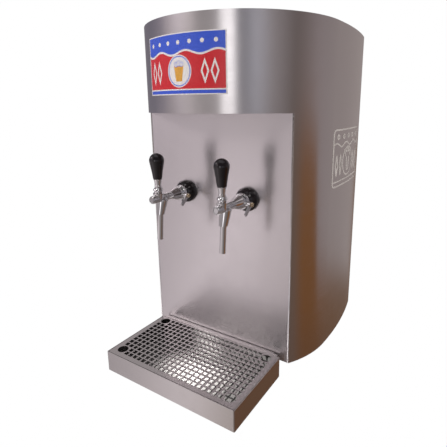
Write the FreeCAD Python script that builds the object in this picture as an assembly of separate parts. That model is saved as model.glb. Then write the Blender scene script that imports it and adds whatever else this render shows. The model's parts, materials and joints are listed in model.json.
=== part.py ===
import FreeCAD, Part
import math
import os

# Two-tap jockey box cooler with an ice well.  All sizes in millimetres.
# Built with z = 0 on the table, x = 0 on the symmetry plane and y = 0 on the
# outer face of the front panel; the front looks along -y.  Every piece is
# moved back by SHIFT_Y when written, so the origin ends under the middle of
# the whole object.

os.makedirs("parts", exist_ok=True)
V = FreeCAD.Vector

# ---- casing plan outline ----
FRONT_R = 205.0
HEADER_OVERHANG = 90.5
FRONT_CY = FRONT_R - HEADER_OVERHANG
FRONT_MOST = -HEADER_OVERHANG - 10.0
FRONT_SWEEP = 86.0
SIDE_R = 870.0
BACK_Y = 333.0
CORNER_R = 20.0

# ---- heights ----
BODY_BOTTOM = 29.0
RIM_TOP = 681.5
HEADER_H = 163.5
HEADER_BOTTOM = RIM_TOP - HEADER_H
DECK_DROP = 28.5
DECK_Z = RIM_TOP - DECK_DROP

# ---- sheet and general clearances ----
SHEET = 1.2
BASE_SHEET = 1.5
FIT = 0.3
RIM_FLANGE = 8.0
PANEL_RETURN = 14.0
FOAM_GAP = 0.4
SCREW_R = 2.0

# ---- feet ----
FOOT_R = 19.0
FOOT_X = 120.0
FOOT_FRONT_Y = 60.0
FOOT_REAR_Y = BACK_Y - 71.0
FOOT_RECESS = 10.0
FOOT_HEAD_R = 6.5
FOOT_HEAD_T = 4.0
FOOT_NUT_T = 5.0
FOOT_SCREW_R = 3.0

# ---- tank ----
TANK_INSET = 36.0
TANK_SHEET = 1.0
TANK_FLOOR = BODY_BOTTOM + 37.0
TANK_FRONT_Y = 36.0
TANK_CORNER_R = 14.0
TANK_FLANGE = 12.0
REAR_FACE = BACK_Y - TANK_INSET - TANK_SHEET

# ---- lid ----
LID_DROP = 1.5
LID_GAP = 2.0
LID_REAR_GAP = 12.5
LID_SHEET = 1.2
LID_DEPTH = 20.0
LINER_DEPTH = 14.0
LINER_GAP = 8.0
PLUG_BACK = REAR_FACE - 14.0
GASKET_OUT = 12.0
GASKET_IN = 2.0
HINGE_X = 110.0
HINGE_LEN = 60.0
HINGE_R = 4.0
HINGE_PIN_R = 2.0
HINGE_LEAF = 1.5
HANDLE_SPAN = 128.0
HANDLE_Y = 45.0
HANDLE_RISE = 24.0
HANDLE_R = 5.0
HANDLE_BEND = 10.0
HANDLE_SCREW_R = 2.5
HANDLE_HEAD_R = 5.5

# ---- taps ----
TAP_X = 75.5
TAP_Z = HEADER_BOTTOM - 163.0
COLLAR_R = 24.0
COLLAR_LEN = 19.0
SHANK_R = 8.0
SHANK_BORE_R = 3.0
SHANK_FRONT_Y = -30.0
SHANK_REAR_Y = TANK_FRONT_Y + 26.0
WASHER_R = 16.0
WASHER_T = 2.0
LOCKNUT_T = 9.0
BODY_R = 13.5
CONE_START_Y = -34.0
CONE_END_Y = -52.0
BARREL_R = 8.0
BARREL_FRONT_Y = -101.0
BORE_R = 5.5
CHAMBER_R = 7.2
SEAT_Y = -48.0
CAP_R = 7.2
CAP_LEN = 4.0
PIVOT_Y = -86.0
PIVOT_Z = TAP_Z + 14.0
BOSS_R = 9.0
BOSS_TOP = TAP_Z + 8.2
BONNET_TOP = TAP_Z + 11.3
BALL_R = 7.7
DOME_R = 10.3
DOME_RIM = 3.0
FERRULE_R = 6.4
FERRULE_TOP_R = 7.1
LEVER_ARM = 13.0
LEVER_MAX = 28.0
ARM_R = 1.8
ARM_BALL_R = 2.2
SLOT_HALF = 2.4
EYE_R = 3.0
PIN_R = 1.3
FERRULE_TOP = PIVOT_Z + 25.0
KNOB_R = 14.4
KNOB_H = 50.0
KNOB_STUD_R = 3.0
KNOB_STUD_LEN = 14.0
SKIRT_TOP_Y = -76.5
SKIRT_TOP_Z = TAP_Z - 6.0
SKIRT_BOTTOM_Z = TAP_Z - 32.0
SKIRT_TOP_R = 11.2
SKIRT_BOTTOM_R = 8.2
SPOUT_R = 5.75
SPOUT_BORE_R = 4.4
SPOUT_TOP_Z = TAP_Z - 14.0
SPOUT_BOTTOM_Z = TAP_Z - 82.5
SPOUT_TOP_Y = -81.6
SPOUT_BOTTOM_Y = -87.5
FLOW_PIVOT_Y = -26.0
FLOW_Z = TAP_Z - 3.0
FLOW_BOSS_REACH = 5.5
FLOW_T = 4.5

# ---- beer lines ----
TUBE_R = 4.75
TUBE_BORE_R = 3.6
COIL_X = 80.0
COIL_Y = 163.0
COIL_R = 60.0
COIL_PITCH = 14.0
COIL_Z = TANK_FLOOR + 27.0
COIL_TURNS = int((TAP_Z - 39.0 - COIL_Z) / COIL_PITCH)
INLET_X = 50.0
INLET_Z = RIM_TOP - 88.5
INLET_INNER_Y = REAR_FACE - 14.0
RISER_Y = INLET_INNER_Y - 19.0

# ---- rear fittings ----
PLATE_W = 200.0
PLATE_H = 70.0
PLATE_HOLE_W = 160.0
PLATE_HOLE_H = 44.0
PLATE_T = 1.5
INLET_THREAD_R = 10.0
INLET_LEN = 24.0
UNION_FLATS = 27.0
FLANGE_T = 8.0
DRAIN_Z = TANK_FLOOR + 17.0
DRAIN_R = 10.5
DRAIN_BORE_R = 7.0
DRAIN_END = 60.0
VALVE_R = 15.0
VALVE_STEM_R = 3.5

# ---- drip tray ----
TRAY_W = 311.0
TRAY_H = 42.0
TRAY_FRONT_Y = -175.5
TRAY_REAR_Y = -9.0
TRAY_SHEET = 1.2
TRAY_CORNER_R = 2.5
GRILLE_T = 1.0
GRILLE_GAP = 1.0
GRILLE_REAR_GAP = 1.3
LEDGE = 7.0
GRILLE_PITCH = 11.57
GRILLE_HOLE = 8.9
GRILLE_EDGE = 6.0
GRILLE_MID_Y = (TRAY_FRONT_Y + TRAY_REAR_Y) / 2.0 + 3.0
FINGER_R = 10.8
HOOK_W = 296.0
HOOK_Y = -3.4
HOOK_LIP = 9.0

# ---- badge on the header ----
BADGE_HALF_ANGLE = 25.5
BADGE_TURN = -2.1
BADGE_LOW = HEADER_BOTTOM + 32.0
BADGE_HIGH = BADGE_LOW + 101.5
BADGE_T = 0.5
BADGE_GLUE = 0.15

SHIFT_Y = -TRAY_FRONT_Y / 2.0 - (BACK_Y + DRAIN_END) / 2.0

PIECES = {}


def keep(name, shape):
    PIECES[name] = shape


def polar(inset, angle):
    a = math.radians(angle)
    r = FRONT_R - inset
    return V(r * math.sin(a), FRONT_CY - r * math.cos(a), 0)


def side_point(inset, y):
    a = math.radians(FRONT_SWEEP)
    off = FRONT_R - SIDE_R
    cx = off * math.sin(a)
    cy = FRONT_CY - off * math.cos(a)
    r = SIDE_R - inset
    return V(cx + math.sqrt(r * r - (y - cy) ** 2), y, 0)


def mirror_x(p):
    return V(-p.x, p.y, p.z)


def outline_solid(inset, z0, z1, corner=None):
    """Casing outline moved inward by inset and extruded from z0 to z1."""
    back = BACK_Y - inset
    start = polar(inset, FRONT_SWEEP)
    end = side_point(inset, back)
    mid = side_point(inset, (start.y + back) / 2.0)
    edges = [
        Part.Arc(mirror_x(start), polar(inset, 0), start).toShape(),
        Part.Arc(start, mid, end).toShape(),
        Part.makeLine(end, mirror_x(end)),
        Part.Arc(mirror_x(end), mirror_x(mid), mirror_x(start)).toShape(),
    ]
    solid = Part.Face(Part.Wire(edges)).extrude(V(0, 0, z1 - z0))
    solid.translate(V(0, 0, z0))
    r = max(CORNER_R - inset, 3.0) if corner is None else corner
    ends = [e for e in solid.Edges if is_upright_at(e, back)]
    return solid.makeFillet(r, ends)


def is_upright_at(edge, y):
    if len(edge.Vertexes) != 2:
        return False
    a = edge.Vertexes[0].Point
    b = edge.Vertexes[1].Point
    upright = abs(a.x - b.x) + abs(a.y - b.y) < 0.001
    return upright and abs(a.y - y) < 0.01


def box(x0, x1, y0, y1, z0, z1):
    return Part.makeBox(x1 - x0, y1 - y0, z1 - z0, V(x0, y0, z0))


def slab(half_x, y0, y1, z0, z1):
    return box(-half_x, half_x, y0, y1, z0, z1)


def rod(r, base, direction, length):
    return Part.makeCylinder(r, length, base, direction)


def rod_y(r, x, z, y0, y1):
    return Part.makeCylinder(r, y1 - y0, V(x, y0, z), V(0, 1, 0))


def rod_z(r, x, y, z0, z1):
    return Part.makeCylinder(r, z1 - z0, V(x, y, z0), V(0, 0, 1))


def rod_x(r, y, z, x0, x1):
    return Part.makeCylinder(r, x1 - x0, V(x0, y, z), V(1, 0, 0))


def turned_y(points, x, z):
    """Solid of revolution about the y line at (x, z); points are (radius, y)."""
    pts = [V(x + r, y, z) for r, y in points]
    face = Part.Face(Part.makePolygon(pts + [pts[0]]))
    return face.revolve(V(x, 0, z), V(0, 1, 0), 360)


def turned_z(points, x, y):
    """Solid of revolution about the upright at (x, y); points are (radius, z)."""
    pts = [V(x + r, y, z) for r, z in points]
    face = Part.Face(Part.makePolygon(pts + [pts[0]]))
    return face.revolve(V(x, y, 0), V(0, 0, 1), 360)


def prism_y(sides, across, x, z, y0, y1):
    """Regular prism along y, such as a hexagon nut, given across flats."""
    r = across / 2.0 / math.cos(math.pi / sides)
    pts = []
    for i in range(sides):
        a = 2 * math.pi * (i + 0.5) / sides
        pts.append(V(x + r * math.sin(a), y0, z + r * math.cos(a)))
    return Part.Face(Part.makePolygon(pts + [pts[0]])).extrude(V(0, y1 - y0, 0))


def profile_x(points, x0, x1):
    """Prism along x from (y, z) points."""
    pts = [V(x0, y, z) for y, z in points]
    return Part.Face(Part.makePolygon(pts + [pts[0]])).extrude(V(x1 - x0, 0, 0))


def group(solids):
    return Part.makeCompound(solids)


def both(solid):
    """The piece and its mirror image on the left side."""
    return [solid.mirror(V(0, 0, 0), V(1, 0, 0)), solid]


def taps(solid):
    """A tap piece and its twin, which has the same hand on the left tap."""
    twin = solid.copy()
    twin.translate(V(-2 * TAP_X, 0, 0))
    return [twin, solid]


def tap_pair(stem, solid):
    left, right = taps(solid)
    keep(stem + "_left", left)
    keep(stem + "_right", right)


def pair(stem, solid):
    left, right = both(solid)
    keep(stem + "_left", left)
    keep(stem + "_right", right)


def fuse(parts):
    out = parts[0]
    for p in parts[1:]:
        out = out.fuse(p)
    return out.removeSplitter()


def tube_path(points, bend):
    """Wire through the points with every corner rounded to the bend radius."""
    edges = []
    last = points[0]
    for i in range(1, len(points) - 1):
        p = points[i]
        a = (points[i - 1] - p).normalize()
        b = (points[i + 1] - p).normalize()
        half = a.getAngle(b) / 2.0
        cut = bend / math.tan(half)
        p0 = p + a * cut
        p1 = p + b * cut
        axis = (a + b).normalize()
        middle = p + axis * (bend / math.sin(half) - bend)
        edges.append(Part.makeLine(last, p0))
        edges.append(Part.Arc(p0, middle, p1).toShape())
        last = p1
    edges.append(Part.makeLine(last, points[-1]))
    return Part.Wire(edges)


def swept(wire, r, start, direction):
    disc = Part.Face(Part.Wire(Part.makeCircle(r, start, direction)))
    return wire.makePipe(disc)


def tube(wire, start, direction):
    outer = swept(wire, TUBE_R, start, direction)
    inner = swept(wire, TUBE_BORE_R, start, direction)
    return outer.cut(inner)


# ============ casing ============
wrap = outline_solid(0.0, BODY_BOTTOM, RIM_TOP)
wrap = wrap.cut(outline_solid(SHEET, BODY_BOTTOM - 1, RIM_TOP - SHEET))
wrap = wrap.cut(outline_solid(RIM_FLANGE, RIM_TOP - SHEET - 1, RIM_TOP + 1))
wrap = wrap.cut(slab(FRONT_R, FRONT_MOST, 0, BODY_BOTTOM - 1, HEADER_BOTTOM))
plate_hole = slab(
    PLATE_HOLE_W / 2,
    BACK_Y - 10,
    BACK_Y + 5,
    INLET_Z - PLATE_HOLE_H / 2,
    INLET_Z + PLATE_HOLE_H / 2,
)
drain_hole = rod_y(DRAIN_R + 1, 0, DRAIN_Z, BACK_Y - 50, BACK_Y + 5)
wrap = wrap.cut(plate_hole)
wrap = wrap.cut(drain_hole)
screw_x = PLATE_W / 2 - 10
screw_z = PLATE_H / 2 - 7
screw_spots = [(x, INLET_Z + z) for x in (-screw_x, 0, screw_x) for z in (-screw_z, screw_z)]
for sx, sz in screw_spots:
    wrap = wrap.cut(rod_y(SCREW_R + FIT, sx, sz, BACK_Y - 5, BACK_Y + 5))
keep("casing_wrap", wrap)

INNER = SHEET + FIT
front_zone = slab(FRONT_R, 0, SHEET, BODY_BOTTOM, HEADER_BOTTOM)
panel = outline_solid(INNER, BODY_BOTTOM, HEADER_BOTTOM).common(front_zone)
returns = outline_solid(INNER, BODY_BOTTOM + BASE_SHEET, HEADER_BOTTOM)
returns = returns.cut(outline_solid(INNER + SHEET, BODY_BOTTOM, HEADER_BOTTOM + 1))
returns = returns.common(slab(FRONT_R, 0, PANEL_RETURN, BODY_BOTTOM, HEADER_BOTTOM))
panel = fuse([panel, returns])
for s in (-1, 1):
    panel = panel.cut(rod_y(SHANK_R + 0.5, s * TAP_X, TAP_Z, -5, 5))
keep("front_panel", panel)

SOFFIT_TOP = HEADER_BOTTOM + SHEET
soffit = outline_solid(INNER, HEADER_BOTTOM, SOFFIT_TOP)
soffit = soffit.common(slab(FRONT_R, FRONT_MOST, TANK_FRONT_Y - FIT, HEADER_BOTTOM, SOFFIT_TOP))
keep("header_soffit", soffit)

base = outline_solid(INNER, BODY_BOTTOM, BODY_BOTTOM + BASE_SHEET)
base = base.cut(slab(FRONT_R, FRONT_MOST, SHEET, 0, HEADER_BOTTOM))
FOOT_SPOTS = [(x, y) for y in (FOOT_FRONT_Y, FOOT_REAR_Y) for x in (-FOOT_X, FOOT_X)]
foot_nut_top = BODY_BOTTOM + BASE_SHEET + FOOT_NUT_T
for fx, fy in FOOT_SPOTS:
    base = base.cut(rod_z(FOOT_SCREW_R + FIT, fx, fy, 0, foot_nut_top))
keep("base_plate", base)

feet = []
foot_screws = []
for fx, fy in FOOT_SPOTS:
    foot_profile = [(0, 0), (FOOT_R - 3, 0), (FOOT_R, 4), (FOOT_R - 4, BODY_BOTTOM), (0, BODY_BOTTOM)]
    foot = turned_z(foot_profile, fx, fy)
    foot = foot.cut(rod_z(FOOT_HEAD_R + 1, fx, fy, -1, FOOT_RECESS))
    foot = foot.cut(rod_z(FOOT_SCREW_R + FIT, fx, fy, 0, foot_nut_top))
    feet.append(foot)
    head = rod_z(FOOT_HEAD_R, fx, fy, FOOT_RECESS - FOOT_HEAD_T, FOOT_RECESS)
    shaft = rod_z(FOOT_SCREW_R, fx, fy, FOOT_RECESS, foot_nut_top)
    nut = rod_z(FOOT_HEAD_R - 1, fx, fy, foot_nut_top - FOOT_NUT_T, foot_nut_top)
    foot_screws.append(fuse([head, shaft, nut]))
keep("rubber_feet", group(feet))
keep("foot_screws", group(foot_screws))

# ============ tank and deck ============
tank_top = DECK_Z - SHEET


def tank_solid(inset, y_front, z0, z1, corner):
    solid = outline_solid(inset, z0, z1, corner)
    solid = solid.cut(slab(FRONT_R, FRONT_MOST, y_front, z0 - 1, z1 + 1))
    ends = [e for e in solid.Edges if is_upright_at(e, y_front)]
    return solid.makeFillet(corner, ends)


tank_outer = tank_solid(TANK_INSET, TANK_FRONT_Y, TANK_FLOOR, tank_top, TANK_CORNER_R)
tank_inner = tank_solid(
    TANK_INSET + TANK_SHEET,
    TANK_FRONT_Y + TANK_SHEET,
    TANK_FLOOR + TANK_SHEET,
    tank_top + 5,
    TANK_CORNER_R - TANK_SHEET,
)
tank_rim = tank_solid(
    TANK_INSET - TANK_FLANGE,
    TANK_FRONT_Y - TANK_FLANGE,
    tank_top - TANK_SHEET,
    tank_top,
    TANK_CORNER_R + TANK_FLANGE,
)
tank = fuse([tank_outer, tank_rim]).cut(tank_inner)
tank_face = TANK_FRONT_Y + TANK_SHEET
tank_back = REAR_FACE + TANK_SHEET
for s in (-1, 1):
    tank = tank.cut(rod_y(SHANK_R + 0.5, s * TAP_X, TAP_Z, TANK_FRONT_Y - 1, tank_face + 1))
    tank = tank.cut(rod_y(INLET_THREAD_R + 0.5, s * INLET_X, INLET_Z, REAR_FACE - 1, tank_back + 1))
tank = tank.cut(rod_y(DRAIN_R + 0.5, 0, DRAIN_Z, REAR_FACE - 1, tank_back + 1))
keep("ice_tank", tank)

deck = outline_solid(INNER, tank_top, DECK_Z)
deck = deck.cut(tank_inner)
keep("top_deck", deck)

foam = outline_solid(INNER + FOAM_GAP, BODY_BOTTOM + BASE_SHEET + 0.2, tank_top - TANK_SHEET)
foam = foam.cut(
    tank_solid(
        TANK_INSET - FOAM_GAP,
        TANK_FRONT_Y - FOAM_GAP,
        TANK_FLOOR - FOAM_GAP,
        tank_top + 5,
        TANK_CORNER_R,
    )
)
foam = foam.cut(slab(FRONT_R, FRONT_MOST, SHEET + 0.2, 0, SOFFIT_TOP + 0.2))
foam = foam.cut(slab(FRONT_R, FRONT_MOST, TANK_FRONT_Y, HEADER_BOTTOM - 1, SOFFIT_TOP + 0.2))
return_zone = slab(FRONT_R, FRONT_MOST, PANEL_RETURN + 0.5, 0, HEADER_BOTTOM)
foam = foam.cut(return_zone.cut(outline_solid(INNER + SHEET + FOAM_GAP, 0, HEADER_BOTTOM)))
for fx, fy in FOOT_SPOTS:
    foam = foam.cut(rod_z(FOOT_HEAD_R, fx, fy, BODY_BOTTOM, foot_nut_top + 1))
for s in (-1, 1):
    foam = foam.cut(rod_y(SHANK_R + 0.8, s * TAP_X, TAP_Z, 0, tank_face))
    foam = foam.cut(rod_y(INLET_THREAD_R + 0.8, s * INLET_X, INLET_Z, REAR_FACE, BACK_Y))
for sx, sz in screw_spots:
    foam = foam.cut(rod_y(SCREW_R + 2, sx, sz, BACK_Y - 14, BACK_Y + 5))
foam = foam.cut(drain_hole)
keep("wall_insulation", foam)

# ============ lid ============
LID_TOP = RIM_TOP - LID_DROP
LID_UNDER = LID_TOP - LID_DEPTH
lid_inset = RIM_FLANGE + LID_GAP
LID_BACK = BACK_Y - RIM_FLANGE - LID_REAR_GAP


def lid_solid(extra, z0, z1, y_back):
    solid = outline_solid(lid_inset + extra, z0, z1)
    solid = solid.cut(slab(FRONT_R, y_back, BACK_Y + 5, z0 - 1, z1 + 1))
    ends = [e for e in solid.Edges if is_upright_at(e, y_back)]
    return solid.makeFillet(6.0, ends)


pan = lid_solid(0, LID_UNDER, LID_TOP, LID_BACK)
pan = pan.cut(lid_solid(LID_SHEET, LID_UNDER - 1, LID_TOP - LID_SHEET, LID_BACK - LID_SHEET))
for s in (-1, 1):
    pan = pan.cut(rod_z(HANDLE_SCREW_R + FIT, s * HANDLE_SPAN / 2, HANDLE_Y, LID_TOP - 5, LID_TOP + 5))
keep("lid_pan", pan)

liner_plug = tank_solid(
    TANK_INSET + TANK_SHEET + LINER_GAP,
    TANK_FRONT_Y + TANK_SHEET + LINER_GAP,
    LID_UNDER - LINER_DEPTH,
    LID_UNDER + TANK_SHEET,
    TANK_CORNER_R,
)
liner_plug = liner_plug.cut(slab(FRONT_R, PLUG_BACK, BACK_Y, 0, RIM_TOP))
plug_ends = [e for e in liner_plug.Edges if is_upright_at(e, PLUG_BACK)]
liner_plug = liner_plug.makeFillet(8.0, plug_ends)
liner_skin = lid_solid(LID_SHEET + FIT, LID_UNDER, LID_UNDER + TANK_SHEET, LID_BACK - LID_SHEET - FIT)
liner = fuse([liner_skin, liner_plug])
inside = tank_solid(
    TANK_INSET + 2 * TANK_SHEET + LINER_GAP,
    TANK_FRONT_Y + 2 * TANK_SHEET + LINER_GAP,
    LID_UNDER - LINER_DEPTH + TANK_SHEET,
    LID_UNDER + 2 * TANK_SHEET,
    TANK_CORNER_R - TANK_SHEET,
)
inside = inside.cut(slab(FRONT_R, PLUG_BACK - TANK_SHEET, BACK_Y, 0, RIM_TOP))
liner = liner.cut(inside)
keep("lid_liner", liner)

lid_foam = lid_solid(
    LID_SHEET + 2 * FIT,
    LID_UNDER + TANK_SHEET,
    LID_TOP - LID_SHEET,
    LID_BACK - LID_SHEET - 2 * FIT,
)
for s in (-1, 1):
    lid_foam = lid_foam.cut(rod_z(HANDLE_HEAD_R + 1, s * HANDLE_SPAN / 2, HANDLE_Y, LID_TOP - 10, LID_TOP))
keep("lid_insulation", lid_foam)

gasket = tank_solid(
    TANK_INSET - GASKET_OUT,
    TANK_FRONT_Y - GASKET_OUT,
    DECK_Z,
    LID_UNDER,
    TANK_CORNER_R + GASKET_OUT,
)
gasket = gasket.cut(
    tank_solid(
        TANK_INSET - GASKET_IN,
        TANK_FRONT_Y - GASKET_IN,
        DECK_Z - 1,
        LID_UNDER + 1,
        TANK_CORNER_R + GASKET_IN,
    )
)
keep("lid_gasket", gasket)

grip_z = LID_TOP + HANDLE_RISE - HANDLE_R
foot_p = V(-HANDLE_SPAN / 2, HANDLE_Y, LID_TOP)
grip_path = tube_path(
    [
        foot_p,
        V(-HANDLE_SPAN / 2, HANDLE_Y, grip_z),
        V(HANDLE_SPAN / 2, HANDLE_Y, grip_z),
        V(HANDLE_SPAN / 2, HANDLE_Y, LID_TOP),
    ],
    HANDLE_BEND,
)
handle = swept(grip_path, HANDLE_R, foot_p, V(0, 0, 1))
screws = []
for s in (-1, 1):
    hx = s * HANDLE_SPAN / 2
    handle = handle.cut(rod_z(HANDLE_SCREW_R + FIT, hx, HANDLE_Y, LID_TOP - 1, LID_TOP + 8))
    shaft = rod_z(HANDLE_SCREW_R, hx, HANDLE_Y, LID_TOP - LID_SHEET, LID_TOP + 7)
    head = rod_z(HANDLE_HEAD_R, hx, HANDLE_Y, LID_TOP - LID_SHEET - 4, LID_TOP - LID_SHEET)
    screws.append(fuse([shaft, head]))
keep("lid_handle", handle)
keep("lid_handle_screws", group(screws))

# ============ lid hinges ============
HINGE_Z = LID_TOP - HINGE_R
HINGE_Y = LID_BACK + HINGE_LEAF + HINGE_R
WALL_Y = BACK_Y - SHEET
body_leaves = []
lid_leaves = []
pins = []
for s in (-1, 1):
    x0 = s * HINGE_X - HINGE_LEN / 2
    x1 = x0 + HINGE_LEN
    third = HINGE_LEN / 3
    leaf = box(x0, x1, LID_BACK, LID_BACK + HINGE_LEAF, LID_UNDER + 1, LID_TOP - 1)
    middle = rod_x(HINGE_R, HINGE_Y, HINGE_Z, x0 + third + FIT, x1 - third - FIT)
    bridge = box(x0 + third + FIT, x1 - third - FIT, LID_BACK + 0.5, HINGE_Y, HINGE_Z - 1, HINGE_Z + 1)
    notch = box(x0, x0 + third + FIT, LID_BACK + HINGE_LEAF - 1.0, HINGE_Y, HINGE_Z - 5, HINGE_Z + 5)
    far_notch = notch.copy()
    far_notch.translate(V(2 * third - FIT, 0, 0))
    leaf = leaf.cut(notch).cut(far_notch)
    knuckle = fuse([leaf, middle, bridge])
    lid_leaves.append(knuckle.cut(rod_x(HINGE_PIN_R + FIT, HINGE_Y, HINGE_Z, x0 - 1, x1 + 1)))
    wall_leaf = box(x0, x1, WALL_Y - HINGE_LEAF, WALL_Y, DECK_Z + 1, RIM_TOP - SHEET - 1)
    arms = [wall_leaf]
    for a0, a1 in ((x0, x0 + third), (x1 - third, x1)):
        arms.append(rod_x(HINGE_R, HINGE_Y, HINGE_Z, a0, a1))
        arms.append(box(a0, a1, HINGE_Y, WALL_Y - 0.5, HINGE_Z - 1, HINGE_Z + 1))
    wall_knuckle = fuse(arms)
    body_leaves.append(wall_knuckle.cut(rod_x(HINGE_PIN_R + FIT, HINGE_Y, HINGE_Z, x0 - 1, x1 + 1)))
    shaft = rod_x(HINGE_PIN_R, HINGE_Y, HINGE_Z, x0 - 0.5, x1 + 0.5)
    caps = [
        rod_x(HINGE_R - 0.5, HINGE_Y, HINGE_Z, x0 - 1.5, x0),
        rod_x(HINGE_R - 0.5, HINGE_Y, HINGE_Z, x1, x1 + 1.5),
    ]
    pins.append(fuse([shaft] + caps))
keep("hinge_lid_leaves", group(lid_leaves))
keep("hinge_body_leaves", group(body_leaves))
keep("hinge_pins", group(pins))

# ============ badge on the header ============
badge = outline_solid(-BADGE_T - BADGE_GLUE, BADGE_LOW, BADGE_HIGH)
badge = badge.cut(outline_solid(-BADGE_GLUE, BADGE_LOW - 1, BADGE_HIGH + 1))
reach = (FRONT_CY - FRONT_MOST) * math.tan(math.radians(BADGE_HALF_ANGLE))
wedge_pts = [
    V(0, FRONT_CY, BADGE_LOW - 1),
    V(-reach, FRONT_MOST, BADGE_LOW - 1),
    V(reach, FRONT_MOST, BADGE_LOW - 1),
    V(0, FRONT_CY, BADGE_LOW - 1),
]
wedge = Part.Face(Part.makePolygon(wedge_pts)).extrude(V(0, 0, BADGE_HIGH - BADGE_LOW + 2))
wedge.rotate(V(0, FRONT_CY, 0), V(0, 0, 1), BADGE_TURN)
keep("front_badge", badge.common(wedge))

# ============ taps ============
collar_bore = SHANK_R + 0.5
dome = [(0.0, 0.21), (0.8, 0.39), (2.4, 0.58), (4.8, 0.75), (7.6, 0.89), (9.2, 1.0)]
collar_points = [(collar_bore, 0), (COLLAR_R, 0)]
collar_points += [(COLLAR_R - drop, -COLLAR_LEN * share) for drop, share in dome]
collar_points.append((collar_bore, -COLLAR_LEN))
collar = turned_y(collar_points, TAP_X, TAP_Z)
tap_pair("tap_collar", collar)

shank = rod_y(SHANK_R, TAP_X, TAP_Z, SHANK_FRONT_Y, SHANK_REAR_Y)
shank = shank.cut(rod_y(SHANK_BORE_R, TAP_X, TAP_Z, SHANK_FRONT_Y - 1, SHANK_REAR_Y + 1))
shank = shank.cut(rod_y(TUBE_R + FIT, TAP_X, TAP_Z, SHANK_REAR_Y - 8, SHANK_REAR_Y + 1))
tap_pair("tap_shank", shank)

shank_room = rod_y(SHANK_R + FIT, TAP_X, TAP_Z, 0, SHANK_REAR_Y)
washer = rod_y(WASHER_R, TAP_X, TAP_Z, tank_face, tank_face + WASHER_T)
keep("shank_washers", group(taps(washer.cut(shank_room))))
locknut = prism_y(6, 26, TAP_X, TAP_Z, tank_face + WASHER_T, tank_face + WASHER_T + LOCKNUT_T)
locknut = locknut.cut(shank_room)
keep("shank_locknuts", group(taps(locknut)))

body_start = -COLLAR_LEN
compensator = turned_y(
    [
        (0, body_start),
        (BODY_R, body_start),
        (BODY_R, CONE_START_Y),
        (BODY_R - 1.2, CONE_START_Y - 4),
        (BARREL_R + 1.2, CONE_END_Y + 4),
        (BARREL_R, CONE_END_Y),
        (BARREL_R, BARREL_FRONT_Y),
        (0, BARREL_FRONT_Y),
    ],
    TAP_X,
    TAP_Z,
)
boss = rod_z(BOSS_R, TAP_X, PIVOT_Y, TAP_Z, BOSS_TOP)


def tap_zone(z0, z1):
    """Block around the front of the right tap, used to trim balls and domes."""
    return box(TAP_X - COLLAR_R, TAP_X + COLLAR_R, PIVOT_Y - COLLAR_R, PIVOT_Y + COLLAR_R, z0, z1)


def spout_axis_y(z):
    share = (z - SPOUT_BOTTOM_Z) / (SPOUT_TOP_Z - SPOUT_BOTTOM_Z)
    return SPOUT_BOTTOM_Y + share * (SPOUT_TOP_Y - SPOUT_BOTTOM_Y)


skirt_low = V(TAP_X, spout_axis_y(SKIRT_BOTTOM_Z), SKIRT_BOTTOM_Z)
skirt_high = V(TAP_X, SKIRT_TOP_Y, SKIRT_TOP_Z)
skirt = Part.makeLoft(
    [
        Part.Wire(Part.makeCircle(SKIRT_BOTTOM_R, skirt_low, V(0, 0, 1))),
        Part.Wire(Part.makeCircle(SKIRT_TOP_R, skirt_high, V(0, 0, 1))),
    ],
    True,
)
bulb = Part.makeSphere(SKIRT_TOP_R, V(TAP_X, SKIRT_TOP_Y, SKIRT_TOP_Z + 0.01))
bulb = bulb.common(tap_zone(SKIRT_TOP_Z, SKIRT_TOP_Z + SKIRT_TOP_R + 1))
flow_side = TAP_X + BODY_R + FLOW_BOSS_REACH
flow_boss = rod_x(5.0, FLOW_PIVOT_Y, FLOW_Z, TAP_X + 9, flow_side)
tap = fuse([compensator, boss, skirt, bulb, flow_boss])
spout_dir = V(0, SPOUT_BOTTOM_Y - SPOUT_TOP_Y, SPOUT_BOTTOM_Z - SPOUT_TOP_Z).normalize()
spout_top = V(TAP_X, SPOUT_TOP_Y, SPOUT_TOP_Z)
socket = rod(SPOUT_R + FIT, spout_top - spout_dir * 0.3, spout_dir, 30)
passage = rod(SPOUT_BORE_R, spout_top - spout_dir * 12, spout_dir, 20)
tap = tap.cut(socket)
tap = tap.cut(passage)
tap = tap.cut(rod_y(BORE_R, TAP_X, TAP_Z, BARREL_FRONT_Y - 1, SEAT_Y + 1))
tap = tap.cut(rod_y(CHAMBER_R, TAP_X, TAP_Z, SEAT_Y, SHANK_FRONT_Y))
tap = tap.cut(rod_y(SHANK_R + FIT, TAP_X, TAP_Z, SHANK_FRONT_Y - 0.3, body_start + 1))
tap = tap.cut(rod_x(1.6, FLOW_PIVOT_Y, FLOW_Z, flow_side - 7, flow_side + 1))
swing = math.tan(math.radians(LEVER_MAX))
lean = ARM_R / math.cos(math.radians(LEVER_MAX)) + 0.4


def fan(reach_up, reach_down):
    """Room for the rocking lever arm, as a prism along x about the pivot."""
    pts = [
        (PIVOT_Y + lean, PIVOT_Z + reach_up),
        (PIVOT_Y + lean, PIVOT_Z),
        (PIVOT_Y + lean + reach_down * swing, PIVOT_Z - reach_down),
        (PIVOT_Y - lean, PIVOT_Z - reach_down),
        (PIVOT_Y - lean, PIVOT_Z),
        (PIVOT_Y - lean - reach_up * swing, PIVOT_Z + reach_up),
    ]
    return profile_x(pts, TAP_X - SLOT_HALF, TAP_X + SLOT_HALF)


tap = tap.cut(fan(10, PIVOT_Z - TAP_Z))
tap_pair("tap_body", tap)

ring = turned_y(
    [
        (BODY_R + FIT, body_start - 0.5),
        (BODY_R + 2.2, body_start - 0.5),
        (BODY_R + 2.2, body_start - 6.5),
        (BODY_R + 1.4, body_start - 7.5),
        (BODY_R + FIT, body_start - 7.5),
    ],
    TAP_X,
    TAP_Z,
)
ring = ring.cut(rod_x(5.5, FLOW_PIVOT_Y, FLOW_Z, TAP_X, TAP_X + 30))
keep("coupling_rings", group(taps(ring)))

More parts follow.
